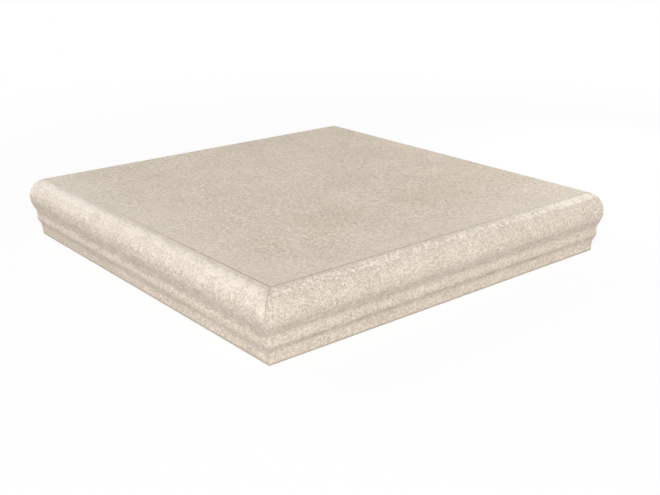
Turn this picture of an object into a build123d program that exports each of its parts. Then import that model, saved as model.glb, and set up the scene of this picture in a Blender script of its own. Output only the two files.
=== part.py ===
"""Corner step tile, in millimetres.

A square porcelain tread slab carries a moulded nosing strip on each of its two front edges.
The strips meet in a mitre at the outer corner. All three pieces are bonded face to face.
The frame stands the tile on the feet of its nosings: origin at the middle of the square, +Z up,
with the nosed edges on the -X and -Y sides.
"""

import os
from math import atan2, hypot, pi, tan

from build123d import *

# Plan and slab
STEP_LENGTH = 330.0  # along X, from the crown of the left nosing to the sawn edge
STEP_WIDTH = 330.0  # along Y, from the crown of the right nosing to the sawn edge
SLAB_THICKNESS = 10.0
SAWN_ARRIS = 0.5  # flat taken off every sawn edge of the slab

# Members of the nosing, each with its own height, from the foot up to the tread
FOOT_HEIGHT = 9.1  # plain band at the bottom
LOWER_OGEE_HEIGHT = 5.9  # foot up to the bead
NECK_HEIGHT = 5.3  # bead up to the hollow under the bullnose
UPPER_OGEE_HEIGHT = 10.5  # hollow up to the front of the bullnose
BULLNOSE_HEIGHT = 16.6  # front of the bullnose up to the tread

# Depth of the nosing and how far its members stand back from the crown
NOSING_DEPTH = 16.3  # bonded back to crown
NECK_RECESS = 5.2
BEAD_RECESS = 4.1
FOOT_RECESS = 7.7
FOOT_BATTER = 0.8  # the foot leans back by this much towards the floor

# Rounding of the members
BULLNOSE_RADIUS = 13.3
NECK_RADIUS = 6.0
BEAD_RADIUS = 5.7
FOOT_COVE_RADIUS = 6.1
FOOT_EDGE_RADIUS = 0.8
STRIP_ARRIS = 0.4  # flat taken off the strip's ends, mitre and bonded edge

# Keyed back of the slab
KEY_DEPTH = 0.8
KEY_SIDE = 34.0
KEY_CORNER_RADIUS = 3.0
KEY_RIB = 7.0  # between neighbouring keys
KEY_BORDER = 9.0  # least plain margin round the keys

TOUCHING_SHARE = 0.98  # two roundings never use up more of a side than this

STEP_HEIGHT = FOOT_HEIGHT + LOWER_OGEE_HEIGHT + NECK_HEIGHT + UPPER_OGEE_HEIGHT + BULLNOSE_HEIGHT
SLAB_LENGTH = STEP_LENGTH - NOSING_DEPTH
SLAB_WIDTH = STEP_WIDTH - NOSING_DEPTH
KEY_PITCH = KEY_SIDE + KEY_RIB
MITRE = Plane(origin=(0, 0, 0), z_dir=(1, -1, 0))  # through the outer corner, half way between the strips


def corner_turn(before, corner, after):
    """Angle, in radians, by which an outline turns at one of its corners."""
    way_in = atan2(corner[1] - before[1], corner[0] - before[0])
    way_out = atan2(after[1] - corner[1], after[0] - corner[0])
    return abs((way_out - way_in + pi) % (2 * pi) - pi)


def fitted_radii(points, radii):
    """The corner radii of a closed outline, each reduced only where a side is too short for it."""
    count = len(points)
    tangents = []
    for i in range(count):
        turn = corner_turn(points[i - 1], points[i], points[(i + 1) % count])
        tangents.append(radii[i] * tan(turn / 2))
    shares = []
    for i in range(count):
        following = (i + 1) % count
        side = hypot(points[following][0] - points[i][0], points[following][1] - points[i][1])
        wanted = tangents[i] + tangents[following]
        shares.append(min(1.0, TOUCHING_SHARE * side / wanted) if wanted else 1.0)
    return [radii[i] * min(shares[i], shares[i - 1]) for i in range(count)]


def nosing_profile():
    """Section of a nosing strip: X outwards from its bonded back, Y up from its foot."""
    bead_level = FOOT_HEIGHT + LOWER_OGEE_HEIGHT
    neck_level = bead_level + NECK_HEIGHT
    crown_level = neck_level + UPPER_OGEE_HEIGHT
    foot_depth = NOSING_DEPTH - FOOT_RECESS
    corners = [
        ((0, 0), 0),
        ((foot_depth - FOOT_BATTER, 0), FOOT_EDGE_RADIUS),
        ((foot_depth, FOOT_HEIGHT), FOOT_COVE_RADIUS),
        ((NOSING_DEPTH - BEAD_RECESS, bead_level), BEAD_RADIUS),
        ((NOSING_DEPTH - NECK_RECESS, neck_level), NECK_RADIUS),
        ((NOSING_DEPTH, crown_level), BULLNOSE_RADIUS),
        ((NOSING_DEPTH, STEP_HEIGHT), BULLNOSE_RADIUS),
        ((0, STEP_HEIGHT), 0),
    ]
    points = [point for point, radius in corners]
    radii = fitted_radii(points, [radius for point, radius in corners])
    return make_face(FilletPolyline(points, radius=radii, close=True))


def nosing_strip(length):
    """A strip along +X with its crown over the X axis, mitred at the origin and sawn off at its length."""
    sawn_end = Plane(origin=(length, NOSING_DEPTH, 0), x_dir=(0, -1, 0), z_dir=(-1, 0, 0))
    strip = extrude(sawn_end * nosing_profile(), amount=length)
    strip = split(strip, bisect_by=MITRE, keep=Keep.TOP)
    end_edges = strip.faces().sort_by(Axis.X)[-1].edges()
    mitre_edges = strip.faces().filter_by(MITRE).sort_by(Axis.X)[0].edges()
    back_top = strip.edges().filter_by(Axis.X).sort_by(Axis.Z)[-2:].sort_by(Axis.Y)[-1]
    return chamfer([*end_edges, *mitre_edges, back_top], STRIP_ARRIS)


def keys_along(side):
    """How many keys fit along one side of the slab."""
    return int((side - 2 * KEY_BORDER + KEY_RIB) / KEY_PITCH)


def tread_slab():
    """The flat slab, its top flush with the strips and its back keyed for the bedding."""
    bed_level = STEP_HEIGHT - SLAB_THICKNESS
    seat = Pos(NOSING_DEPTH / 2, NOSING_DEPTH / 2, bed_level)
    standing = (Align.CENTER, Align.CENTER, Align.MIN)
    slab = seat * Box(SLAB_LENGTH, SLAB_WIDTH, SLAB_THICKNESS, align=standing)
    slab = chamfer(slab.edges(), SAWN_ARRIS)
    key = RectangleRounded(KEY_SIDE, KEY_SIDE, KEY_CORNER_RADIUS)
    places = GridLocations(KEY_PITCH, KEY_PITCH, keys_along(SLAB_LENGTH), keys_along(SLAB_WIDTH))
    keys = Sketch() + [place * key for place in places]
    return slab - extrude(seat * keys, amount=KEY_DEPTH)


def build():
    outer_corner = Pos(-STEP_LENGTH / 2, -STEP_WIDTH / 2, 0)
    return {
        "tread_slab": tread_slab(),
        "nosing_left": outer_corner * mirror(nosing_strip(STEP_WIDTH), about=MITRE),
        "nosing_right": outer_corner * nosing_strip(STEP_LENGTH),
    }


os.makedirs("parts", exist_ok=True)
for node, shape in build().items():
    export_step(shape, f"parts/{node}.step")
    print(node, "volume", round(shape.volume), "mm3")
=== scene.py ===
import math

import bmesh
import bpy
from mathutils import Matrix, Vector, noise


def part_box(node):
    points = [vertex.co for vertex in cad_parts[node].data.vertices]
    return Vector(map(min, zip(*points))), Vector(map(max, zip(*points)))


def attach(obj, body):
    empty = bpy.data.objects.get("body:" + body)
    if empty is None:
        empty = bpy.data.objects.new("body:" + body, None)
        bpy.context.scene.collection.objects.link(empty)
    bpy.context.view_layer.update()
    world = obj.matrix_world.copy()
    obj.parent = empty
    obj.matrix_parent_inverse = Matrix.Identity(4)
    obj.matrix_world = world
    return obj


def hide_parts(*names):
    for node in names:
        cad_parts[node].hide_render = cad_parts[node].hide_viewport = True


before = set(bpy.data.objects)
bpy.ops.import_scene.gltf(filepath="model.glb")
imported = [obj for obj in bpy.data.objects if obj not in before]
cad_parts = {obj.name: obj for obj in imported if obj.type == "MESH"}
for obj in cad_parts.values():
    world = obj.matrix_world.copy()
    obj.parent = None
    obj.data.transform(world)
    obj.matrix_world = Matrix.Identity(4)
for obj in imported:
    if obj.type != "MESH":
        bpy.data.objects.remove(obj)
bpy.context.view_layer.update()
mm = 0.001

slabLow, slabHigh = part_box("tread_slab")
seam = slabLow.x  # the strips are bonded along x = seam and y = seam
bedLevel = slabLow.z
treadLevel = slabHigh.z
stepEnd = slabHigh.x
print("frame loaded, tread at", round(treadLevel / mm, 2), "mm")


# Shader helpers

number, vector = "NodeSocketFloat", "NodeSocketVector"


def place(tree, kind, x, y, **values):
    node = tree.nodes.new(kind)
    node.location = (x, y)
    for key, value in values.items():
        setattr(node, key, value)
    return node


def feed(tree, socket, value):
    if isinstance(value, bpy.types.NodeSocket):
        tree.links.new(value, socket)
    elif value is not None:
        socket.default_value = value


def maths(tree, operation, x, y, first, second=None, third=None, clamp=False):
    node = place(tree, "ShaderNodeMath", x, y, operation=operation, use_clamp=clamp)
    for socket, value in zip(node.inputs, (first, second, third)):
        feed(tree, socket, value)
    return node.outputs[0]


def spread(tree, x, y, value, low, high, newLow=0.0, newHigh=1.0):
    node = place(tree, "ShaderNodeMapRange", x, y, interpolation_type="SMOOTHSTEP")
    labels = ("Value", "From Min", "From Max", "To Min", "To Max")
    for label, given in zip(labels, (value, low, high, newLow, newHigh)):
        feed(tree, node.inputs[label], given)
    return node.outputs["Result"]


def patches(tree, x, y, where, scale, seed, detail=2.0, roughness=0.5):
    node = place(tree, "ShaderNodeTexNoise", x, y, noise_dimensions="4D")
    labels = ("Vector", "W", "Scale", "Detail", "Roughness")
    for label, given in zip(labels, (where, seed, scale, detail, roughness)):
        feed(tree, node.inputs[label], given)
    return node.outputs["Fac"]


def cells(tree, x, y, where, scale):
    node = place(tree, "ShaderNodeTexVoronoi", x, y)
    feed(tree, node.inputs["Vector"], where)
    feed(tree, node.inputs["Scale"], scale)
    parts = place(tree, "ShaderNodeSeparateColor", x + 200, y)
    feed(tree, parts.inputs["Color"], node.outputs["Color"])
    return node.outputs["Distance"], parts.outputs["Red"], parts.outputs["Green"]


def mixColour(tree, x, y, factor, first, second):
    node = place(tree, "ShaderNodeMix", x, y, data_type="RGBA")
    for socket, value in ((node.inputs[0], factor), (node.inputs[6], first), (node.inputs[7], second)):
        feed(tree, socket, value)
    return node.outputs[2]


def startGroup(name, inputs, outputs):
    group = bpy.data.node_groups.new(name, "ShaderNodeTree")
    group.interface.new_socket("Vector", in_out="INPUT", socket_type=vector)
    for label, value in inputs.items():
        group.interface.new_socket(label, in_out="INPUT", socket_type=number).default_value = value
    for label in outputs:
        group.interface.new_socket(label, in_out="OUTPUT", socket_type=number)
    given = place(group, "NodeGroupInput", -1600, 0)
    result = place(group, "NodeGroupOutput", 1000, 0)
    return group, given.outputs, result.inputs


def useGroup(tree, group, x, y, where, values):
    node = place(tree, "ShaderNodeGroup", x, y, node_tree=group)
    feed(tree, node.inputs["Vector"], where)
    for label, value in values.items():
        node.inputs[label].default_value = value
    return node.outputs


def srgb(red, green, blue):
    def linear(value):
        value = value / 255
        return value / 12.92 if value <= 0.04045 else ((value + 0.055) / 1.055) ** 2.4
    return (linear(red), linear(green), linear(blue), 1.0)


# Fired stone grain: soft clouds, packed grains, dark and pale flecks that keep together, burst bubbles

grainShape = {
    "paleFlock": (0.46, 0.6),  # where pale flecks and dark specks keep together
    "darkFlock": (0.54, 0.38),
    "fleckEdge": (0.58, 0.64),
    "creaseEdge": (0.004, 0.018),
    "creaseBreak": (0.47, 0.55),
    "speckSize": (0.14, 0.34),  # shares of a cell
    "pitSize": (0.05, 0.16),
    "lipHighlight": 0.7,
    "grainRise": 0.3,  # heights, as shares of the bump depth
    "speckRise": -0.6,
    "fleckRise": 0.5,
    "pitRise": -2.2,
    "lipRise": 0.7,
}


def makeGrainGroup():
    group, given, result = startGroup(
        "stoneGrain",
        {
            "Cloud Scale": 30.0,
            "Cloud Seed": 1.0,
            "Flock Seed": 4.0,
            "Clump Scale": 300.0,
            "Grain Scale": 900.0,
            "Fleck Scale": 400.0,
            "Crease Scale": 130.0,
            "Crease Share": 0.5,
            "Speck Scale": 330.0,
            "Dark Specks": 0.5,
            "Pale Flecks": 0.5,
            "Pit Scale": 45.0,
            "Pit Share": 0.25,
        },
        ["Cloud", "Clump", "Grain", "Dark", "Pale", "Pit", "Height"],
    )
    where = given["Vector"]
    cloud = patches(group, -1200, 600, where, given["Cloud Scale"], given["Cloud Seed"], 3.0, 0.55)
    clump = patches(group, -1200, 350, where, given["Clump Scale"], 2.0, 3.0, 0.6)
    fleck = patches(group, -1200, 100, where, given["Fleck Scale"], 3.0, 1.0, 0.5)
    flock = patches(group, -1200, -150, where, given["Cloud Scale"], given["Flock Seed"], 2.0, 0.5)
    cloud = maths(group, "MULTIPLY_ADD", -900, 600, cloud, 2.0, -1.0)
    clump = maths(group, "MULTIPLY_ADD", -900, 350, clump, 2.0, -1.0)
    # every grain has a shade of its own
    own = cells(group, -1200, -400, where, given["Grain Scale"])[1]
    own = maths(group, "MULTIPLY_ADD", -800, -400, own, 2.0, -1.0)
    # pale flecks and dark specks show only where their flocks are dense
    paleFlock = spread(group, -900, -50, flock, *grainShape["paleFlock"])
    darkFlock = spread(group, -900, -200, flock, *grainShape["darkFlock"])
    pale = spread(group, -900, 150, fleck, *grainShape["fleckEdge"])
    # short bent creases, broken up by the flecks
    crease = patches(group, -1200, 850, where, given["Crease Scale"], 12.0, 1.0, 0.5)
    crease = maths(group, "SUBTRACT", -900, 850, crease, 0.5)
    crease = maths(group, "ABSOLUTE", -700, 850, crease)
    crease = spread(group, -500, 850, crease, *grainShape["creaseEdge"], 1.0, 0.0)
    broken = spread(group, -500, 1000, fleck, *grainShape["creaseBreak"])
    crease = maths(group, "MULTIPLY", -300, 850, crease, broken)
    crease = maths(group, "MULTIPLY", -100, 850, crease, given["Crease Share"])
    pale = maths(group, "MAXIMUM", -650, 250, pale, crease)
    pale = maths(group, "MULTIPLY", -650, 100, pale, paleFlock)
    pale = maths(group, "MULTIPLY", -450, 100, pale, given["Pale Flecks"])
    middle, speckChance, speckSize = cells(group, -1200, -1000, where, given["Speck Scale"])
    speckSize = spread(group, -750, -1000, speckSize, 0.0, 1.0, *grainShape["speckSize"])
    dark = maths(group, "SUBTRACT", -550, -1000, speckSize, middle)
    dark = spread(group, -350, -1000, dark, 0.0, 0.1)
    speckShare = maths(group, "MULTIPLY", -650, -150, darkFlock, given["Dark Specks"])
    speckPick = maths(group, "LESS_THAN", -450, -150, speckChance, speckShare)
    dark = maths(group, "MULTIPLY", -150, -1000, dark, speckPick)
    # burst bubbles: a sunk middle with a raised lip, with painted shade in the middle and a painted
    # highlight on the lip
    gap, chance, bigness = cells(group, -1200, -700, where, given["Pit Scale"])
    picked = maths(group, "LESS_THAN", -750, -650, chance, given["Pit Share"])
    size = spread(group, -750, -800, bigness, 0.0, 1.0, *grainShape["pitSize"])
    reach = maths(group, "DIVIDE", -550, -750, gap, size)
    hollow = spread(group, -350, -650, reach, 0.25, 0.85, 1.0, 0.0)
    lip = spread(group, -350, -750, reach, 0.7, 1.0)
    lipFall = spread(group, -350, -850, reach, 1.0, 1.6, 1.0, 0.0)
    pit = maths(group, "MULTIPLY", -150, -650, hollow, picked)
    lip = maths(group, "MULTIPLY", -150, -800, lip, lipFall)
    lip = maths(group, "MULTIPLY", 50, -800, lip, picked)
    pale = maths(group, "MULTIPLY_ADD", 250, 100, lip, grainShape["lipHighlight"], pale)
    height = maths(group, "MULTIPLY_ADD", -150, 350, own, grainShape["grainRise"], clump)
    height = maths(group, "MULTIPLY_ADD", 50, 350, dark, grainShape["speckRise"], height)
    height = maths(group, "MULTIPLY_ADD", 250, 350, pale, grainShape["fleckRise"], height)
    height = maths(group, "MULTIPLY_ADD", 450, 350, pit, grainShape["pitRise"], height)
    height = maths(group, "MULTIPLY_ADD", 650, 350, lip, grainShape["lipRise"], height)
    for socket, value in zip(result, (cloud, clump, own, dark, pale, pit, height)):
        feed(group, socket, value)
    return group


# Bond between the slab and the strips and down the mitre: a hairline with soiled, ragged sides

bondShape = {
    "cornerSlip": -0.3 * mm,  # each seam runs this far past the slab's corner
    "mitreFade": (0.62 * treadLevel, 0.9 * treadLevel),
    "leftClose": (-110.0 * mm, 110.0 * mm),  # along the seams, where they close up
    "rightClose": (-20.0 * mm, 110.0 * mm),
    "raggedScale": 110.0,
    "raggedReach": 6.0 * mm,
}


def makeBondGroup():
    group, given, result = startGroup(
        "bondLine",
        {
            "Half Width": 0.5 * mm,
            "Soil Width": 3.0 * mm,
            "Left Line": 0.8,
            "Right Line": 0.5,
            "Mitre Line": 0.4,
            "End Share": 0.1,
            "Soil Share": 0.3,
        },
        ["Line", "Soil"],
    )
    parts = place(group, "ShaderNodeSeparateXYZ", -1300, 0)
    feed(group, parts.inputs["Vector"], given["Vector"])
    x, y, z = parts.outputs
    leftGap = maths(group, "SUBTRACT", -1100, 300, x, seam)
    rightGap = maths(group, "SUBTRACT", -1100, 100, y, seam)
    inner = maths(group, "MINIMUM", -900, -100, leftGap, rightGap)
    mitreGap = maths(group, "SUBTRACT", -1100, -250, x, y)
    mitreGap = maths(group, "ABSOLUTE", -900, -250, mitreGap)
    mitreGap = maths(group, "MULTIPLY", -700, -250, mitreGap, math.sqrt(0.5))
    # each seam ends at the slab's corner, where the mitre goes on and closes up towards the lower members
    outside = maths(group, "LESS_THAN", -700, -450, inner, 0.0)
    upper = spread(group, -700, -600, z, *bondShape["mitreFade"])
    onMitre = maths(group, "MULTIPLY", -500, -500, outside, upper)
    onLeft = maths(group, "GREATER_THAN", -700, 400, rightGap, bondShape["cornerSlip"])
    onRight = maths(group, "GREATER_THAN", -700, 200, leftGap, bondShape["cornerSlip"])
    # and the seams close up towards the sawn ends
    leftOpen = spread(group, -900, 500, y, *bondShape["leftClose"], 1.0, given["End Share"])
    rightOpen = spread(group, -900, 650, x, *bondShape["rightClose"], 1.0, given["End Share"])
    bonded = maths(group, "GREATER_THAN", -900, 800, z, bedLevel)
    onLeft = maths(group, "MULTIPLY", -500, 400, onLeft, leftOpen)
    onRight = maths(group, "MULTIPLY", -500, 200, onRight, rightOpen)
    onLeft = maths(group, "MULTIPLY", -300, 400, onLeft, bonded)
    onRight = maths(group, "MULTIPLY", -300, 200, onRight, bonded)
    lines = []
    for name, gap, part, row in (
        ("Left Line", leftGap, onLeft, 300),
        ("Right Line", rightGap, onRight, 100),
        ("Mitre Line", mitreGap, onMitre, -250),
    ):
        gap = maths(group, "ABSOLUTE", -500, row, gap)
        line = spread(group, -300, row, gap, 0.0, given["Half Width"], 1.0, 0.0)
        line = maths(group, "MULTIPLY", -100, row, line, part)
        lines.append(maths(group, "MULTIPLY", 100, row, line, given[name]))
    line = maths(group, "MAXIMUM", 400, 200, lines[0], lines[1])
    line = maths(group, "MAXIMUM", 600, 100, line, lines[2])
    ragged = patches(group, -700, -800, given["Vector"], bondShape["raggedScale"], 5.0, 3.0, 0.6)
    reach = bondShape["raggedReach"]
    ragged = maths(group, "MULTIPLY_ADD", -500, -800, ragged, reach, -reach / 2)
    soilGap = maths(group, "ABSOLUTE", -500, -100, inner)
    soilGap = maths(group, "ADD", -300, -700, soilGap, ragged)
    soil = spread(group, -100, -700, soilGap, 0.0, given["Soil Width"], 1.0, 0.0)
    soil = maths(group, "MULTIPLY", 100, -700, soil, given["Soil Share"])
    feed(group, result["Line"], line)
    feed(group, result["Soil"], soil)
    return group


# Moulded section of the strips: painted highlight on the shoulder, painted shade in the hollows and at the
# foot

mouldShape = {
    "broadScale": 100.0,
    "fineScale": 480.0,
    "marginSoft": 4.5 * mm,  # the painted highlight patches start over this width beside the seam
    "faceRise": (35.5 * mm, 39.0 * mm),  # levels up the bullnose
    "shoulderRise": 2.2 * mm,
    "topHighlightRise": 3.0 * mm,
    "endFrom": 30.0 * mm,  # along the strip
    "highlightMiddle": 0.49,
    "shadeRise": 2.0 * mm,
    "shadeFall": 2.5 * mm,
    "streakStretch": 0.25,
    "streakSlope": -0.24,
    "streakScale": 420.0,
    "farFrom": -40.0 * mm,
    "farLevels": (12.0 * mm, 15.0 * mm),
    "footFrom": 0.9 * mm,
}


def makeMouldGroup():
    group, given, result = startGroup(
        "mouldShade",
        {
            "Seam Margin": 5.0 * mm,
            "Face Cover": 0.3,
            "Shoulder Cover": 0.6,
            "Shoulder From": 44.0 * mm,
            "End Cover": 0.0,
            "Broad Weight": 1.2,
            "Fine Weight": 2.2,
            "Soft Edge": 0.21,
            "Rubbed Share": 0.9,
            "Top Highlight From": 44.0 * mm,
            "Top Highlight Share": 0.1,
            "Hollow Low": 20.0 * mm,
            "Hollow High": 31.0 * mm,
            "Hollow Share": 0.25,
            "Cove Low": 8.0 * mm,
            "Cove High": 15.0 * mm,
            "Cove Share": 0.3,
            "Streak Share": 0.8,
            "Far Share": 0.0,
            "Foot Share": 0.7,
            "Foot High": 2.0 * mm,
        },
        ["Rubbed", "Painted Shade"],
    )
    parts = place(group, "ShaderNodeSeparateXYZ", -1300, 0)
    feed(group, parts.inputs["Vector"], given["Vector"])
    x, y, z = parts.outputs
    broad = patches(group, -1300, -500, given["Vector"], mouldShape["broadScale"], 6.0, 3.0, 0.6)
    fine = patches(group, -1300, -750, given["Vector"], mouldShape["fineScale"], 10.0, 2.0, 0.6)
    # painted highlight, in crisp patches that run together on the shoulder and grow towards the far end
    out = maths(group, "MINIMUM", -1100, 200, x, y)
    out = maths(group, "SUBTRACT", -900, 200, seam, out)
    start = maths(group, "SUBTRACT", -900, 400, given["Seam Margin"], mouldShape["marginSoft"])
    inside = spread(group, -700, 400, out, start, given["Seam Margin"])
    face = spread(group, -900, 700, z, *mouldShape["faceRise"], 0.0, given["Face Cover"])
    over = maths(group, "ADD", -1100, 550, given["Shoulder From"], mouldShape["shoulderRise"])
    more = maths(group, "SUBTRACT", -900, 550, given["Shoulder Cover"], given["Face Cover"])
    along = maths(group, "MAXIMUM", -1300, -1000, x, y)
    farther = spread(group, -1100, 850, along, mouldShape["endFrom"], stepEnd, 0.0, given["End Cover"])
    more = maths(group, "ADD", -700, 850, more, farther)
    shoulder = spread(group, -700, 600, z, given["Shoulder From"], over, 0.0, more)
    cover = maths(group, "ADD", -500, 600, face, shoulder)
    cover = maths(group, "MULTIPLY", -300, 500, cover, inside)
    for noise, name, row in ((broad, "Broad", 350), (fine, "Fine", 200)):
        swing = maths(group, "SUBTRACT", -300, row, noise, 0.5)
        cover = maths(group, "MULTIPLY_ADD", -100, row, swing, given[name + " Weight"], cover)
    least = maths(group, "SUBTRACT", 100, 500, mouldShape["highlightMiddle"], given["Soft Edge"])
    most = maths(group, "ADD", 100, 650, given["Soft Edge"], mouldShape["highlightMiddle"])
    highlight = spread(group, 300, 500, cover, least, most, 0.0, given["Rubbed Share"])
    # a painted highlight over the bullnose from the given level upwards
    topHighlightOver = maths(group, "ADD", 100, 800, given["Top Highlight From"], mouldShape["topHighlightRise"])
    topHighlight = spread(group, 300, 800, z, given["Top Highlight From"], topHighlightOver, 0.0, given["Top Highlight Share"])
    highlight = maths(group, "MAXIMUM", 500, 500, highlight, topHighlight)
    # painted shade in the hollow under the bullnose, in the cove over the foot, and along the very bottom
    blotch = spread(group, -1100, -500, broad, 0.35, 0.65, 0.6, 1.4)
    shadeBands = []
    for name, row in (("Hollow", -100), ("Cove", -300)):
        full = maths(group, "ADD", -1100, row, given[name + " Low"], mouldShape["shadeRise"])
        end = maths(group, "SUBTRACT", -1100, row - 100, given[name + " High"], mouldShape["shadeFall"])
        rise = spread(group, -900, row, z, given[name + " Low"], full)
        fall = spread(group, -700, row, z, end, given[name + " High"], given[name + " Share"], 0.0)
        shadeBands.append(maths(group, "MULTIPLY", -500, row, rise, fall))
    paintedShade = maths(group, "MAXIMUM", -300, -150, shadeBands[0], shadeBands[1])
    paintedShade = maths(group, "MULTIPLY", -100, -150, paintedShade, blotch)
    # the painted shade broken into streaks that slope a little along the strip
    streakSpace = place(group, "ShaderNodeCombineXYZ", -900, -1000)
    stretched = maths(group, "MULTIPLY", -1100, -1000, along, mouldShape["streakStretch"])
    sloped = maths(group, "MULTIPLY_ADD", -1100, -1150, along, mouldShape["streakSlope"], z)
    feed(group, streakSpace.inputs["X"], stretched)
    feed(group, streakSpace.inputs["Y"], sloped)
    streak = patches(
        group, -700, -1000, streakSpace.outputs["Vector"], mouldShape["streakScale"], 17.0, 3.0, 0.6
    )
    streak = spread(group, -500, -1000, streak, 0.42, 0.58, -1.0, 1.2)
    streak = maths(group, "MULTIPLY_ADD", -300, -1000, streak, given["Streak Share"], 1.0)
    paintedShade = maths(group, "MULTIPLY", -100, -350, paintedShade, streak)
    # more painted shade low down towards the far end
    far = spread(group, -700, -1250, along, mouldShape["farFrom"], stepEnd, 0.0, given["Far Share"])
    low = spread(group, -500, -1250, z, *mouldShape["farLevels"], 1.0, 0.0)
    paintedShade = maths(group, "MULTIPLY_ADD", 100, -350, far, low, paintedShade)
    # painted shade along the very bottom of the foot, where it meets the floor
    bottom = mouldShape["footFrom"]
    foot = spread(group, -700, -500, z, bottom, given["Foot High"], given["Foot Share"], 0.0)
    paintedShade = maths(group, "MAXIMUM", 300, -200, paintedShade, foot, clamp=True)
    feed(group, result["Rubbed"], highlight)
    feed(group, result["Painted Shade"], paintedShade)
    return group


# Sawn and ground edges: fine lines along the edge

def makeSawGroup():
    group, given, result = startGroup(
        "sawMarks", {"Line Scale": 1500.0, "Wander": 0.35 * mm}, ["Tone", "Height"]
    )
    parts = place(group, "ShaderNodeSeparateXYZ", -1300, 0)
    feed(group, parts.inputs["Vector"], given["Vector"])
    drift = patches(group, -1300, -300, given["Vector"], 22.0, 7.0)
    drift = maths(group, "MULTIPLY", -1100, -300, drift, given["Wander"])
    level = maths(group, "ADD", -900, 0, parts.outputs["Z"], drift)
    lines = place(group, "ShaderNodeTexNoise", -700, 0, noise_dimensions="1D")
    feed(group, lines.inputs["W"], level)
    feed(group, lines.inputs["Scale"], given["Line Scale"])
    lines.inputs["Detail"].default_value = 2.0
    tone = maths(group, "MULTIPLY_ADD", -400, 0, lines.outputs["Fac"], 2.0, -1.0)
    feed(group, result["Tone"], tone)
    feed(group, result["Height"], tone)
    return group


# Kiln wash left on the keyed back, thick on the ribs and thin down in the keys

def makeWashGroup():
    group, given, result = startGroup("kilnWash", {"Rib Share": 0.7, "Key Share": 0.25}, ["Wash"])
    parts = place(group, "ShaderNodeSeparateXYZ", -1300, 0)
    feed(group, parts.inputs["Vector"], given["Vector"])
    broad = patches(group, -1000, 200, given["Vector"], 16.0, 8.0, 3.0, 0.6)
    fine = patches(group, -1000, -50, given["Vector"], 260.0, 9.0, 3.0, 0.65)
    cover = maths(group, "MULTIPLY_ADD", -750, 100, fine, 0.8, broad)
    cover = spread(group, -550, 100, cover, 0.72, 1.02)
    share = spread(
        group, -550, -150, parts.outputs["Z"], bedLevel + 0.15 * mm, bedLevel + 0.6 * mm,
        given["Rib Share"], given["Key Share"],
    )
    feed(group, result["Wash"], maths(group, "MULTIPLY", -300, 0, cover, share))
    return group


# Wear: the pale fired body shows at chips along the sawn arrises; the tread is also paler towards its front

wearShape = {
    "chipScale": 420.0,  # small chips in longer runs
    "chipReach": 6.0 * mm,
    "runScale": 45.0,
    "runReach": 5.0 * mm,
    "holdBack": 5.5 * mm,
}


def makeWearGroup():
    group, given, result = startGroup(
        "arrisWear",
        {
            "Width": 0.7 * mm,
            "Top Weight": 1.0,
            "Chip Share": 0.6,
            "Front Width": 45.0 * mm,
            "Front Share": 0.0,
        },
        ["Wear"],
    )
    parts = place(group, "ShaderNodeSeparateXYZ", -1300, 0)
    feed(group, parts.inputs["Vector"], given["Vector"])
    x, y, z = parts.outputs
    farther = maths(group, "MAXIMUM", -1100, 200, x, y)
    endGap = maths(group, "SUBTRACT", -900, 200, stepEnd, farther)
    topGap = maths(group, "SUBTRACT", -1100, 0, treadLevel, z)
    topGap = maths(group, "MULTIPLY", -900, 0, topGap, given["Top Weight"])
    gap = maths(group, "MAXIMUM", -700, 100, endGap, topGap)
    chips = patches(group, -900, -250, given["Vector"], wearShape["chipScale"], 13.0, 3.0, 0.65)
    runs = patches(group, -900, -500, given["Vector"], wearShape["runScale"], 14.0, 2.0, 0.5)
    gap = maths(group, "MULTIPLY_ADD", -500, 0, chips, -wearShape["chipReach"], gap)
    gap = maths(group, "MULTIPLY_ADD", -300, 0, runs, -wearShape["runReach"], gap)
    gap = maths(group, "ADD", -100, 0, gap, wearShape["holdBack"])
    wear = spread(group, 100, 0, gap, 0.0, given["Width"], given["Chip Share"], 0.0)
    # the tread is paler towards its front, over the front width
    nearer = maths(group, "MINIMUM", -1100, -750, x, y)
    back = maths(group, "SUBTRACT", -900, -750, nearer, seam)
    front = spread(group, -700, -750, back, 0.0, given["Front Width"], given["Front Share"], 0.0)
    wear = maths(group, "MAXIMUM", 300, 0, wear, front)
    feed(group, result["Wear"], wear)
    return group


grainGroup = makeGrainGroup()
bondGroup = makeBondGroup()
mouldGroup = makeMouldGroup()
sawGroup = makeSawGroup()
washGroup = makeWashGroup()
wearGroup = makeWearGroup()


# Layers over the grain, each giving back the colour and the height

def bondLayer(tree, where, base, height, look):
    bond = useGroup(tree, bondGroup, -300, -400, where, look["bond"])
    # soil beside the seam; the same colour serves as the strips' painted shade
    base = mixColour(tree, 0, 100, bond["Soil"], base, look["soilAndShadeColour"])
    return mixColour(tree, 150, 100, bond["Line"], base, look["lineColour"]), height


def mouldLayer(tree, where, base, height, look):
    mould = useGroup(tree, mouldGroup, -300, -650, where, look["mould"])
    # painted highlight on the shoulder, then painted shade in the hollows, the cove and along the foot
    base = mixColour(tree, 0, 300, mould["Rubbed"], base, look["highlightColour"])
    return mixColour(tree, 150, 300, mould["Painted Shade"], base, look["soilAndShadeColour"]), height


def sawLayer(tree, where, base, height, look):
    saw = useGroup(tree, sawGroup, -300, -400, where, look["saw"])
    streak = maths(tree, "MULTIPLY_ADD", 0, -300, saw["Tone"], look["sawTone"], 0.5, clamp=True)
    streak = mixColour(tree, 150, -300, streak, look["deep"], look["light"])
    base = mixColour(tree, 300, 100, look["sawShare"], base, streak)
    return base, maths(tree, "MULTIPLY_ADD", 150, -500, saw["Height"], look["sawDepth"], height)


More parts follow.
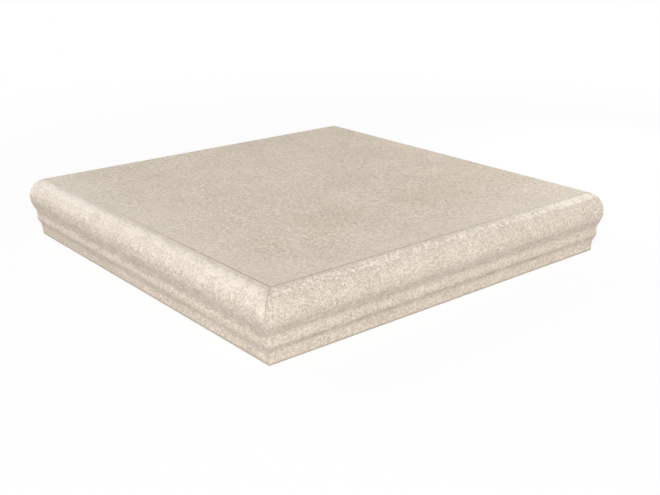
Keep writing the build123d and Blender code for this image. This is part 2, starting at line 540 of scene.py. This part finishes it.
def wearLayer(tree, where, base, height, look):
    wear = useGroup(tree, wearGroup, -300, -900, where, look["wear"])
    base = mixColour(tree, 300, 300, wear["Wear"], base, look["bodyColour"])
    return base, maths(tree, "MULTIPLY_ADD", 300, -500, wear["Wear"], -look["chipDepth"], height)


def washLayer(tree, where, base, height, look):
    wash = useGroup(tree, washGroup, -300, -400, where, look["wash"])
    base = mixColour(tree, 150, 100, wash["Wash"], base, look["washColour"])
    return base, maths(tree, "MULTIPLY_ADD", 150, -500, wash["Wash"], look["washDepth"], height)


def makeStone(name, look, layers):
    material = bpy.data.materials.new(name)
    material.use_nodes = True
    tree = material.node_tree
    tree.nodes.clear()
    where = place(tree, "ShaderNodeTexCoord", -1600, 0).outputs["Object"]
    grain = useGroup(tree, grainGroup, -1300, 200, where, look["grain"])
    shade = maths(tree, "MULTIPLY_ADD", -1000, 400, grain["Cloud"], look["cloudTone"], 0.5)
    shade = maths(tree, "MULTIPLY_ADD", -850, 400, grain["Clump"], look["clumpTone"], shade)
    shade = maths(tree, "MULTIPLY_ADD", -700, 400, grain["Grain"], look["grainTone"], shade, clamp=True)
    base = mixColour(tree, -550, 400, shade, look["deep"], look["light"])
    for label, paint in (("Dark", "darkFleck"), ("Pale", "paleFleck"), ("Pit", "pitShadeColour")):
        base = mixColour(tree, -400, 400, grain[label], base, look[paint])
    height = grain["Height"]
    for layer in layers:
        base, height = layer(tree, where, base, height, look)
    rough = maths(
        tree, "MULTIPLY_ADD", 300, -100, grain["Clump"], look["roughSpread"], look["rough"], clamp=True
    )
    bump = place(tree, "ShaderNodeBump", 500, -300)
    bump.inputs["Distance"].default_value = look["bumpDepth"]
    shader = place(tree, "ShaderNodeBsdfPrincipled", 800, 0)
    shader.inputs["Specular IOR Level"].default_value = look["gloss"]
    output = place(tree, "ShaderNodeOutputMaterial", 1100, 0)
    for value, socket in (
        (base, shader.inputs["Base Color"]),
        (rough, shader.inputs["Roughness"]),
        (height, bump.inputs["Height"]),
        (bump.outputs["Normal"], shader.inputs["Normal"]),
        (shader.outputs["BSDF"], output.inputs["Surface"]),
    ):
        feed(tree, socket, value)
    return material


treadLook = {
    "grain": {
        "Cloud Scale": 24.0,
        "Cloud Seed": 6040.4,
        "Flock Seed": 14321.1,
        "Clump Scale": 330.0,
        "Grain Scale": 820.0,
        "Fleck Scale": 340.0,
        "Crease Scale": 130.0,
        "Crease Share": 0.8,
        "Speck Scale": 300.0,
        "Dark Specks": 0.45,
        "Pale Flecks": 0.68,
        "Pit Scale": 80.0,
        "Pit Share": 0.03,
    },
    "cloudTone": 0.29,
    "clumpTone": 0.6,
    "grainTone": 0.36,
    "deep": srgb(189, 175, 157),
    "light": srgb(228, 215, 199),
    "darkFleck": srgb(164, 151, 134),
    "paleFleck": srgb(240, 229, 215),
    "pitShadeColour": srgb(175, 163, 147),
    "rough": 0.6,
    "roughSpread": 0.15,
    "bumpDepth": 0.1 * mm,
    "gloss": 0.3,
    "bond": {
        "Half Width": 0.7 * mm,
        "Soil Width": 3.0 * mm,
        "Left Line": 1.0,
        "Right Line": 0.8,
        "Mitre Line": 0.0,
        "End Share": 0.1,
        "Soil Share": 0.02,
    },
    "soilAndShadeColour": srgb(176, 164, 148),
    "lineColour": srgb(144, 121, 92),
    "wear": {
        "Width": 0.7 * mm,
        "Top Weight": 1.0,
        "Chip Share": 0.7,
        "Front Width": 50.0 * mm,
        "Front Share": 0.26,
    },
    "bodyColour": srgb(226, 216, 203),
    "chipDepth": 1.2,
}
nosingLook = dict(
    treadLook,
    grain={
        "Cloud Scale": 34.0,
        "Cloud Seed": 14929.7,
        "Flock Seed": 4.0,
        "Clump Scale": 450.0,
        "Grain Scale": 1150.0,
        "Fleck Scale": 560.0,
        "Crease Scale": 200.0,
        "Crease Share": 0.3,
        "Speck Scale": 420.0,
        "Dark Specks": 0.25,
        "Pale Flecks": 0.6,
        "Pit Scale": 90.0,
        "Pit Share": 0.5,
    },
    cloudTone=0.2,
    gloss=0.2,
    deep=srgb(180, 166, 148),
    light=srgb(234, 223, 210),
    paleFleck=srgb(234, 223, 209),
    bond={
        "Half Width": 0.7 * mm,
        "Soil Width": 5.0 * mm,
        "Left Line": 1.0,
        "Right Line": 0.8,
        "Mitre Line": 0.45,
        "End Share": 0.1,
        "Soil Share": 0.03,
    },
    # colour of the painted highlight
    highlightColour=srgb(237, 224, 209),
    wear={"Width": 0.7 * mm, "Top Weight": 0.0, "Chip Share": 0.7},
)
# the two strips take different painted highlight and painted shade, as the light falls differently on each
leftLook = dict(
    nosingLook,
    grain=dict(nosingLook["grain"], **{"Cloud Seed": 5076.5, "Dark Specks": 0.1, "Pale Flecks": 0.85}),
    clumpTone=0.46,
    grainTone=0.42,
    bumpDepth=0.1 * mm,
    highlightColour=srgb(239, 228, 215),
    mould={
        "Seam Margin": 6.8 * mm,
        "Face Cover": 0.31,
        "Shoulder Cover": 0.78,
        "Shoulder From": 43.4 * mm,
        "End Cover": 0.0,
        "Broad Weight": 2.4,
        "Fine Weight": 2.9,
        "Soft Edge": 0.33,
        "Rubbed Share": 0.88,
        "Top Highlight From": 37.0 * mm,
        "Top Highlight Share": 0.26,
        "Hollow Low": 18.0 * mm,
        "Hollow High": 33.0 * mm,
        "Hollow Share": 0.2,
        "Cove Low": 6.5 * mm,
        "Cove High": 16.0 * mm,
        "Cove Share": 0.14,
        "Streak Share": 1.0,
        "Far Share": 0.22,
        "Foot Share": 0.8,
        "Foot High": 3.0 * mm,
    },
)
rightLook = dict(
    nosingLook,
    clumpTone=0.4,
    grainTone=0.33,
    bumpDepth=0.09 * mm,
    highlightColour=srgb(243, 232, 218),
    mould={
        "Seam Margin": 4.4 * mm,
        "Face Cover": 0.0,
        "Shoulder Cover": 0.42,
        "Shoulder From": 44.1 * mm,
        "End Cover": 0.26,
        "Broad Weight": 0.9,
        "Fine Weight": 2.3,
        "Rubbed Share": 0.95,
        "Top Highlight From": 44.0 * mm,
        "Top Highlight Share": 0.08,
        "Hollow Low": 21.4 * mm,
        "Hollow High": 30.0 * mm,
        "Hollow Share": 0.21,
        "Cove Low": 9.4 * mm,
        "Cove High": 15.2 * mm,
        "Cove Share": 0.34,
        "Streak Share": 0.7,
        "Far Share": 0.0,
        "Foot Share": 0.9,
        "Foot High": 2.2 * mm,
    },
)
sawnLook = dict(
    treadLook,
    grain=dict(treadLook["grain"], **{"Cloud Scale": 60.0, "Grain Scale": 1400.0, "Pale Flecks": 0.3}),
    deep=srgb(172, 160, 145),
    light=srgb(210, 199, 185),
    rough=0.7,
    gloss=0.3,
    bond=dict(
        treadLook["bond"],
        **{"Half Width": 0.5 * mm, "Left Line": 0.75, "Right Line": 0.75, "End Share": 1.0},
    ),
    wear=dict(treadLook["wear"], **{"Front Share": 0.0}),
    saw={"Line Scale": 1500.0, "Wander": 0.6 * mm},
    sawTone=0.6,
    sawShare=0.45,
    sawDepth=0.7,
)
backLook = dict(
    sawnLook,
    rough=0.85,
    gloss=0.2,
    wash={"Rib Share": 0.75, "Key Share": 0.25},
    washColour=srgb(228, 220, 208),
    washDepth=0.6,
)
treadFace = makeStone("treadFace", treadLook, [wearLayer, bondLayer])
leftFace = makeStone("leftNosingFace", leftLook, [mouldLayer, wearLayer, bondLayer])
rightFace = makeStone("rightNosingFace", rightLook, [mouldLayer, wearLayer, bondLayer])
sawnFace = makeStone("sawnFace", sawnLook, [sawLayer, wearLayer, bondLayer])
keyedFace = makeStone("keyedFace", backLook, [washLayer])
print("materials made")


# Finishing a piece: smooth, sharp at its arrises, and riding on the tile

def finishPiece(name, bm, materials, node, sharpAngle):
    mesh = bpy.data.meshes.new(name)
    bm.to_mesh(mesh)
    bm.free()
    piece = bpy.data.objects.new(name, mesh)
    bpy.context.scene.collection.objects.link(piece)
    for material in materials:
        mesh.materials.append(material)
    mesh.polygons.foreach_set("use_smooth", [True] * len(mesh.polygons))
    mesh.set_sharp_from_angle(angle=sharpAngle)
    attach(piece, "root")
    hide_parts(node)
    print(name, "faces", len(mesh.polygons))


def hills(spot, sizes):
    # soft relief between 0 and 1, with a share of swell at each size in mm
    swell = sum(share * noise.noise(spot / size) for size, share in sizes)
    return min(1.0, max(0.0, 0.5 - 0.6 * swell))


# Tread slab

tread = {
    "cells": 270,  # squares of the walked face along each side
    "arris": 0.5 * mm,
    "arrisSteps": 3,
    "keySide": 34.0 * mm,
    "keyRib": 7.0 * mm,
    "keyCount": 7,
    "keyCorner": 3.0 * mm,
    "keyDepth": 0.8 * mm,
    "keyDraft": 0.3 * mm,
    "relief": 0.06 * mm,  # pressed stone relief, all of it below the tread level
    "reliefSizes": [(23.0, 0.5), (7.5, 0.35), (3.1, 0.3)],
    "sharpAngle": math.radians(50),
}


def extrudeRim(bm, edges, centre, scale, drop):
    grown = bmesh.ops.extrude_edge_only(bm, edges=edges)["geom"]
    verts = [item for item in grown if isinstance(item, bmesh.types.BMVert)]
    bmesh.ops.scale(bm, verts=verts, vec=(scale, scale, 1.0), space=Matrix.Translation(-centre))
    bmesh.ops.translate(bm, verts=verts, vec=(0.0, 0.0, -drop))
    return [item for item in grown if isinstance(item, bmesh.types.BMEdge) and item.is_boundary]


def rollRim(bm, edges, centre, half, radius, steps, outwards):
    # rolls an open rim round a quarter circle, out and down or in and down
    for step in range(steps):
        before, after = (math.pi / 2 * (step + k) / steps for k in (0, 1))
        if outwards:
            sideBefore, sideAfter = (half - radius + radius * math.sin(angle) for angle in (before, after))
            drop = radius * (math.cos(before) - math.cos(after))
        else:
            sideBefore, sideAfter = (half - radius + radius * math.cos(angle) for angle in (before, after))
            drop = radius * (math.sin(after) - math.sin(before))
        edges = extrudeRim(bm, edges, centre, sideAfter / sideBefore, drop)
    return edges


def addKeys(bm, centre):
    pitch = tread["keySide"] + tread["keyRib"]
    first = -pitch * (tread["keyCount"] - 1) / 2
    shrink = 1 - 2 * tread["keyDraft"] / tread["keySide"]
    for column in range(tread["keyCount"]):
        for row in range(tread["keyCount"]):
            middle = Vector((centre.x + first + column * pitch, centre.y + first + row * pitch, bedLevel))
            square = bmesh.ops.create_grid(
                bm, x_segments=1, y_segments=1, size=tread["keySide"] / 2, matrix=Matrix.Translation(middle)
            )["verts"]
            bevelled = bmesh.ops.bevel(
                bm, geom=square, offset=tread["keyCorner"], offset_type="OFFSET", affect="VERTICES",
                segments=4, profile=0.5, material=-1,
            )
            face = bevelled["verts"][0].link_faces[0]
            rim = list(face.edges)
            bmesh.ops.delete(bm, geom=[face], context="FACES_ONLY")
            rim = extrudeRim(bm, rim, middle, shrink, -tread["keyDepth"])
            bmesh.ops.contextual_create(bm, geom=rim)
    for face in bm.faces:
        face.material_index = 2


def makeTread():
    centre = (slabLow + slabHigh) / 2
    half = (slabHigh.x - slabLow.x) / 2
    flat = Vector((centre.x, centre.y, treadLevel))
    bm = bmesh.new()
    addKeys(bm, centre)
    topVerts = bmesh.ops.create_grid(
        bm, x_segments=tread["cells"], y_segments=tread["cells"], size=half - tread["arris"],
        matrix=Matrix.Translation(flat),
    )["verts"]
    rim = [edge for edge in bm.edges if edge.is_boundary and edge.verts[0].co.z > centre.z]
    rim = rollRim(bm, rim, flat, half, tread["arris"], tread["arrisSteps"], True)
    rim = extrudeRim(bm, rim, flat, 1.0, treadLevel - bedLevel - 2 * tread["arris"])
    rollRim(bm, rim, flat, half, tread["arris"], tread["arrisSteps"], False)
    bmesh.ops.triangle_fill(bm, edges=[edge for edge in bm.edges if edge.is_boundary], use_beauty=True)
    bmesh.ops.recalc_face_normals(bm, faces=bm.faces)
    for face in bm.faces:
        if face.material_index != 2:  # the keys have theirs
            face.material_index = 0 if face.normal.z > 0.5 else 2 if face.normal.z < -0.5 else 1
    for vert in topVerts:
        vert.co.z -= tread["relief"] * hills(vert.co / mm, tread["reliefSizes"])
    faces = [treadFace, sawnFace, keyedFace]
    finishPiece("treadSlab", bm, faces, "tread_slab", tread["sharpAngle"])


makeTread()


# Nosing strips

strip = {
    # out from the bonded back, up from the floor, reach of the rounding along its sides, all in mm
    "section": [
        (0.0, 0.0, 0.0),
        (7.8, 0.0, 0.73),
        (8.6, 9.1, 1.43),
        (12.2, 15.0, 2.25),
        (11.1, 20.3, 2.07),
        (16.3, 30.8, 3.09),
        (16.3, 47.4, 13.18),
        (0.0, 47.4, 0.0),
    ],
    "roundSteps": {0.73: 4, 1.43: 5, 2.25: 7, 2.07: 7, 3.09: 9, 13.18: 26},
    "fineStep": 0.85,  # mm between points of the moulded face
    "plainStep": 6.0,  # mm between points of the back and the foot
    "lengthSteps": 360,
    "arris": 0.4 * mm,
    "mitreArris": 0.12 * mm,
    "relief": 0.07 * mm,
    "reliefSizes": [(19.0, 0.5), (6.5, 0.35), (2.6, 0.35)],
    "reliefShift": 90.0,  # mm, so that the strips differ
    "facingFade": (0.2, 0.9),  # the relief fades towards the back and the foot, the bond and the ends
    "bondFade": (0.6 * mm, 2.6 * mm),
    "endFade": 2.0 * mm,
    "touching": 0.05 * mm,
    "sharpAngle": math.radians(40),
}


def ramp(value, low, high):
    return max(0.0, min(1.0, (value - low) / (high - low)))


def makeStrip(name, node, face, mirrored):
    bm = bmesh.new()
    corners = [bm.verts.new((0.0, seam - out * mm, up * mm)) for out, up, reach in strip["section"]]
    bm.faces.new(corners)
    for corner, (out, up, reach) in zip(corners, strip["section"]):
        if reach:
            bmesh.ops.bevel(
                bm, geom=[corner], offset=reach * mm, offset_type="OFFSET", affect="VERTICES",
                segments=strip["roundSteps"][reach], profile=0.5, material=-1,
            )
    for edge in list(bm.edges):
        plain = all(min(seam - vert.co.y, vert.co.z) < strip["touching"] for vert in edge.verts)
        cuts = round(edge.calc_length() / mm / strip["plainStep" if plain else "fineStep"]) - 1
        if cuts > 0:
            bmesh.ops.subdivide_edges(bm, edges=[edge], cuts=cuts)
    section = list(bm.verts)
    grown = bmesh.ops.extrude_face_region(bm, geom=list(bm.faces), use_keep_orig=True)["geom"]
    sawn = [item for item in grown if isinstance(item, bmesh.types.BMVert)]
    bmesh.ops.translate(bm, verts=sawn, vec=(stepEnd, 0.0, 0.0))
    mitre = Matrix.Identity(4)
    mitre[0][1] = 1.0  # x follows y, so the end lies on the mitre plane
    bmesh.ops.transform(bm, verts=section, matrix=mitre)
    bmesh.ops.recalc_face_normals(bm, faces=bm.faces)
    ends = sorted(bm.faces, key=lambda item: len(item.verts))[-2:]
    mitreEnd, sawnEnd = sorted(ends, key=lambda item: item.calc_center_median().x)
    backTop = [
        edge for edge in bm.edges
        if all(max(seam - vert.co.y, treadLevel - vert.co.z) < strip["touching"] for vert in edge.verts)
    ]
    mitreEdges = list(mitreEnd.edges)
    sawnEdges = [*sawnEnd.edges, *backTop]
    for edges, width in ((sawnEdges, strip["arris"]), (mitreEdges, strip["mitreArris"])):
        bmesh.ops.bevel(
            bm, geom=[edge for edge in edges if edge.is_valid], offset=width, offset_type="OFFSET",
            affect="EDGES", segments=2, profile=0.5, material=-1, clamp_overlap=True,
        )
    long = [edge for edge in bm.edges if abs(edge.verts[0].co.x - edge.verts[1].co.x) > stepEnd]
    bmesh.ops.subdivide_edges(bm, edges=long, cuts=strip["lengthSteps"] - 1, use_grid_fill=True)
    bmesh.ops.recalc_face_normals(bm, faces=bm.faces)
    print(name, "open edges", sum(edge.is_boundary for edge in bm.edges))
    for item in bm.faces:  # the back, the underside and the ends are bare
        bare = item.normal.y > 0.6 or item.normal.z < -0.85 or abs(item.normal.x) > 0.6
        item.material_index = 1 if bare else 0
    bm.normal_update()
    shift = Vector((strip["reliefShift"] if mirrored else 0.0, 0.0, 0.0))
    for vert in bm.verts:
        facing = ramp(vert.normal.z - vert.normal.y, *strip["facingFade"])
        facing *= ramp(seam - vert.co.y, *strip["bondFade"])
        facing *= ramp(stepEnd - vert.co.x, 0.0, strip["endFade"])
        facing *= ramp(vert.co.x - vert.co.y, 0.0, strip["endFade"])
        sunk = strip["relief"] * facing * hills(vert.co / mm + shift, strip["reliefSizes"])
        vert.co -= vert.normal * sunk
    if mirrored:
        swap = Matrix(((0, 1, 0, 0), (1, 0, 0, 0), (0, 0, 1, 0), (0, 0, 0, 1)))
        bmesh.ops.transform(bm, verts=bm.verts, matrix=swap)
        bmesh.ops.recalc_face_normals(bm, faces=bm.faces)
    finishPiece(name, bm, [face, sawnFace], node, strip["sharpAngle"])


makeStrip("nosingRight", "nosing_right", rightFace, False)
makeStrip("nosingLeft", "nosing_left", leftFace, True)


# Studio: white floor, soft light, and the camera of the picture

studio = {
    "floorHalf": 8.0,
    "floorColour": (0.86, 0.86, 0.86, 1.0),
    "seenColour": (1.0, 1.0, 1.0, 1.0),
    "glowNear": 0.88,  # share of plain white in the floor as it is seen, near the tile and far from it
    "glowFar": 1.0,
    "glowReach": (0.3, 0.9),
    "skyStrength": 0.2,
    "lights": [
        # name, place, target, side, power
        ("keyLight", (-1.133, -1.133, 1.316), (-0.05, -0.05, 0.03), 1.2, 24.2),
        ("lowLight", (-1.433, -1.433, 0.446), (-0.05, -0.05, 0.03), 1.2, 9.6),
        ("frontLight", (-0.05, -1.952, 0.648), (-0.05, -0.05, 0.03), 1.2, 7.3),
        ("rimLight", (-0.834, 1.631, 0.779), (-0.05, -0.05, 0.03), 1.2, 13.1),
        ("backLight", (0.098, 1.640, 1.090), (-0.05, -0.05, 0.03), 1.2, 4.6),
        ("endLight", (0.55, -0.02, 0.22), (0.14, -0.12, 0.04), 0.25, 0.7),
        ("cornerLight", (0.42, -0.30, 0.30), (0.14, -0.14, 0.04), 0.25, 0.25),
    ],
    "cameraPlace": (-0.46035, -0.57822, 0.26309),
    "cameraTilt": 70.2039,
    "cameraTurn": -39.8205,
    "lens": 52.113,
}


def seenRays(tree, x, y):
    rays = place(tree, "ShaderNodeLightPath", x, y)
    seen, glossy, through = (rays.outputs[f"Is {kind} Ray"] for kind in ("Camera", "Glossy", "Transmission"))
    seen = maths(tree, "MAXIMUM", x + 200, y, seen, glossy)
    return maths(tree, "MAXIMUM", x + 400, y, seen, through)


def makeFloor():
    bm = bmesh.new()
    bmesh.ops.create_grid(bm, x_segments=1, y_segments=1, size=studio["floorHalf"])
    mesh = bpy.data.meshes.new("studioFloor")
    bm.to_mesh(mesh)
    bm.free()
    floor = bpy.data.objects.new("studioFloor", mesh)
    bpy.context.scene.collection.objects.link(floor)
    material = bpy.data.materials.new("floorPaint")
    material.use_nodes = True
    tree = material.node_tree
    tree.nodes.clear()
    where = place(tree, "ShaderNodeTexCoord", -900, -200)
    reach = place(tree, "ShaderNodeVectorMath", -700, -200, operation="LENGTH")
    feed(tree, reach.inputs[0], where.outputs["Object"])
    near, far = studio["glowReach"]
    distance = reach.outputs["Value"]
    share = spread(tree, -500, -200, distance, near, far, studio["glowNear"], studio["glowFar"])
    seen = seenRays(tree, -700, 300)
    share = maths(tree, "MULTIPLY", 0, 200, seen, share)
    paint = place(tree, "ShaderNodeBsdfDiffuse", 0, 0)
    colour = mixColour(tree, -200, 0, seen, studio["floorColour"], studio["seenColour"])
    feed(tree, paint.inputs["Color"], colour)
    glow = place(tree, "ShaderNodeEmission", 0, -150)
    glow.inputs["Strength"].default_value = 1.0
    clear = place(tree, "ShaderNodeBsdfTransparent", 200, -300)
    under = place(tree, "ShaderNodeNewGeometry", 0, 500).outputs["Backfacing"]
    white = place(tree, "ShaderNodeMixShader", 200, 0)
    oneWay = place(tree, "ShaderNodeMixShader", 400, 0)  # seen through from below
    output = place(tree, "ShaderNodeOutputMaterial", 600, 0)
    for value, socket in (
        (share, white.inputs[0]),
        (paint.outputs[0], white.inputs[1]),
        (glow.outputs[0], white.inputs[2]),
        (under, oneWay.inputs[0]),
        (white.outputs[0], oneWay.inputs[1]),
        (clear.outputs[0], oneWay.inputs[2]),
        (oneWay.outputs[0], output.inputs["Surface"]),
    ):
        feed(tree, socket, value)
    mesh.materials.append(material)


def makeSky():
    world = bpy.data.worlds.new("studioSky")
    bpy.context.scene.world = world
    world.use_nodes = True
    tree = world.node_tree
    tree.nodes.clear()
    strength = spread(tree, 0, 200, seenRays(tree, -600, 200), 0.0, 1.0, studio["skyStrength"], 1.0)
    sky = place(tree, "ShaderNodeBackground", 200, 0)
    sky.inputs["Color"].default_value = (1.0, 1.0, 1.0, 1.0)
    output = place(tree, "ShaderNodeOutputWorld", 400, 0)
    feed(tree, sky.inputs["Strength"], strength)
    feed(tree, output.inputs["Surface"], sky.outputs["Background"])


def makeLights():
    for name, spot, target, side, power in studio["lights"]:
        lamp = bpy.data.lights.new(name, "AREA")
        lamp.shape = "SQUARE"
        lamp.size = side
        lamp.energy = power
        holder = bpy.data.objects.new(name, lamp)
        holder.location = spot
        holder.rotation_euler = (Vector(target) - Vector(spot)).to_track_quat("-Z", "Y").to_euler()
        holder.visible_camera = False
        bpy.context.scene.collection.objects.link(holder)


def makeCamera():
    data = bpy.data.cameras.new("photoCamera")
    data.sensor_width = 36.0
    data.lens = studio["lens"]
    data.clip_start = 0.01
    data.clip_end = 50.0
    camera = bpy.data.objects.new("photoCamera", data)
    camera.location = studio["cameraPlace"]
    camera.rotation_euler = (math.radians(studio["cameraTilt"]), 0.0, math.radians(studio["cameraTurn"]))
    bpy.context.scene.collection.objects.link(camera)
    bpy.context.scene.camera = camera


makeFloor()
makeSky()
makeLights()
makeCamera()
bpy.context.scene.view_settings.view_transform = "Standard"
print("studio set")
